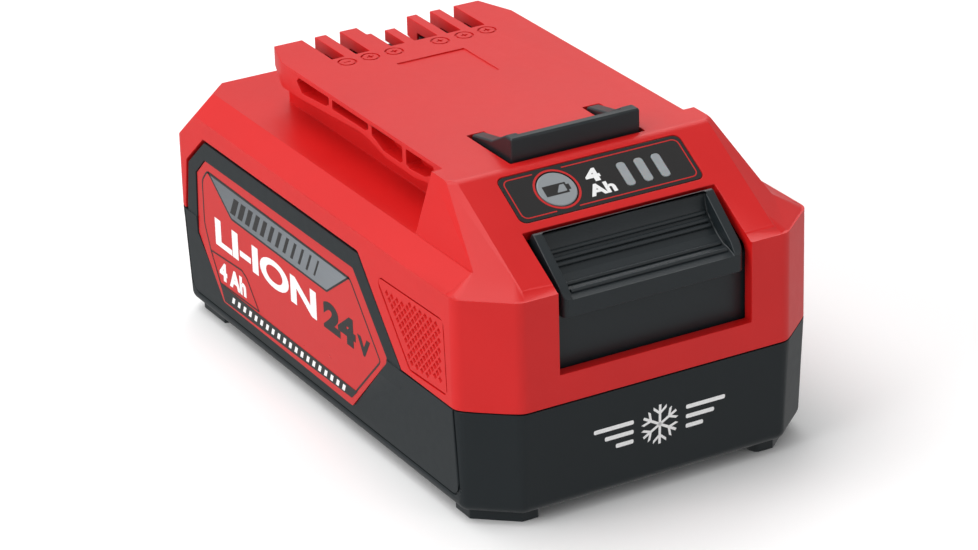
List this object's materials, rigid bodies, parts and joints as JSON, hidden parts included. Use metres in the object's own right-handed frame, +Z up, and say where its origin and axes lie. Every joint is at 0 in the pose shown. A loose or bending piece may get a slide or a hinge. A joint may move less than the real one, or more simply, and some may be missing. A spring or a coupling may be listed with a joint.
{
  "type": "slide-on battery pack",
  "caption": "Slide-on rechargeable lithium-ion pack for an ice auger: red cover with tool rails and contact slots, charcoal tray, sprung release button with latch bar, charge gauge.",
  "frame": {"origin": "under the middle of the pack, on the plane of its feet", "axes": "+Z up, +X to the right seen from the button end, +Y along the pack from the button end (-Y) to the contact end (+Y)"},
  "size_m": [0.08, 0.131, 0.0675],
  "materials": {
    "red_casing": "satin injection-moulded nylon with a fine spark-eroded grain",
    "charcoal_casing": "satin charcoal moulded plastic with a fine grain",
    "charcoal_latch": "satin charcoal moulded plastic",
    "spring_steel": "drawn wire",
    "gauge_film": "satin printed polycarbonate film",
    "grey_rubber": "soft matt",
    "light_pipe": "milky translucent",
    "circuit_board": "solder mask",
    "led_lens": "clear epoxy",
    "black_component": "epoxy moulding",
    "screw_steel": "black zinc",
    "ribbon_cable": "flat grey ribbon",
    "label_film": "satin printed film",
    "holder_plastic": "flame-retardant moulding",
    "nickel_strip": "rolled nickel",
    "insulating_paper": "vulcanised fibre paper",
    "terminal_plastic": "glass-filled moulding",
    "contact_brass": "tin-flashed copper alloy",
    "thermistor_bead": "epoxy dip",
    "foam": "closed-cell foam",
    "cell_sleeve": "steel can in a shrunk plastic sleeve"
  },
  "bodies": {
    "casing": {"lower_casing": "charcoal_casing", "upper_casing": "red_casing", "latch_spring_left": "spring_steel", "latch_spring_right": "spring_steel", "gauge_label": "gauge_film", "gauge_light_pipe": "light_pipe", "gauge_board": "circuit_board", "gauge_leds": "led_lens", "gauge_switch": "black_component", "gauge_screws": "screw_steel", "gauge_ribbon": "ribbon_cable", "side_label_left": "label_film", "side_label_right": "label_film", "cell_holder_left": "holder_plastic", "cell_holder_right": "holder_plastic", "cell_strips_left": "nickel_strip", "cell_strips_right": "nickel_strip", "insulating_sheet_left": "insulating_paper", "insulating_sheet_right": "insulating_paper", "main_board": "circuit_board", "board_screws": "screw_steel", "board_components": "black_component", "power_transistors": "black_component", "terminal_block": "terminal_plastic", "power_contacts": "contact_brass", "signal_contacts": "contact_brass", "positive_tab": "nickel_strip", "negative_tab": "nickel_strip", "balance_tabs": "nickel_strip", "thermistor": "thermistor_bead", "foam_pads": "foam", "case_screws": "screw_steel", "cell_01": "cell_sleeve", "cell_02": "cell_sleeve", "cell_03": "cell_sleeve", "cell_04": "cell_sleeve", "cell_05": "cell_sleeve", "cell_06": "cell_sleeve", "cell_07": "cell_sleeve", "cell_08": "cell_sleeve", "cell_09": "cell_sleeve", "cell_10": "cell_sleeve", "cell_11": "cell_sleeve", "cell_12": "cell_sleeve"},
    "latch": {"release_button": "charcoal_latch", "latch_frame": "charcoal_latch"},
    "check_button": {"gauge_button": "grey_rubber"}
  },
  "joints": [
    {"name": "latch_press", "type": "slide", "parent": "casing", "child": "latch", "axis": [0, 0, -1], "range_m": [0, 0.0055], "stiffness_N_per_m": 700, "springref_m": -0.004, "deforming": ["latch_spring_left", "latch_spring_right"]},
    {"name": "check_press", "type": "slide", "parent": "casing", "child": "check_button", "axis": [0, 0.5045, -0.8634], "range_m": [0, 0.0005], "stiffness_N_per_m": 900, "springref_m": -0.0005}
  ]
}
